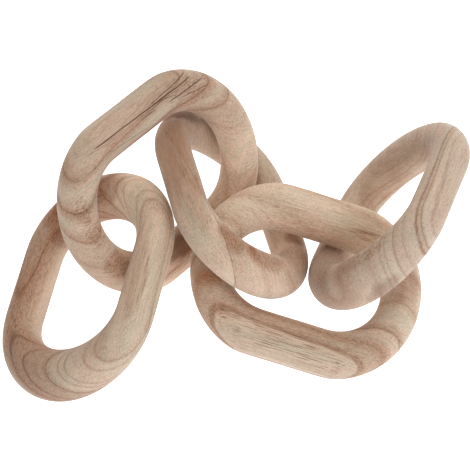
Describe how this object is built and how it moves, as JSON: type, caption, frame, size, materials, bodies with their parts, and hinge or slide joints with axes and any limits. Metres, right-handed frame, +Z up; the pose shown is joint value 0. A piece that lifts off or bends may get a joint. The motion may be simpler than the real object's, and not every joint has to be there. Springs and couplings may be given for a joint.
{
  "type": "carved wooden link chain",
  "caption": "Loose chain of closed oblong wooden links, each carved whole through its neighbour, lying in a heap to dress a table or shelf.",
  "frame": {"origin": "on the table top, under the middle of the chain's bounding box", "axes": "+X along the chain from the left link to the right link as seen from the front, +Y away from the viewer, +Z up from the table"},
  "size_m": [0.279, 0.2026, 0.1043],
  "materials": {
    "left_link": "bare sanded wood, matte, with open grain",
    "upper_link": "bare sanded wood, matte, with open grain",
    "middle_link": "bare sanded wood, matte, with open grain",
    "lower_link": "bare sanded wood, matte, with open grain",
    "right_link": "bare sanded wood, matte, with open grain"
  },
  "bodies": {
    "root": {"left_link": "left_link", "upper_link": "upper_link", "middle_link": "middle_link", "lower_link": "lower_link", "right_link": "right_link"}
  },
  "joints": []
}
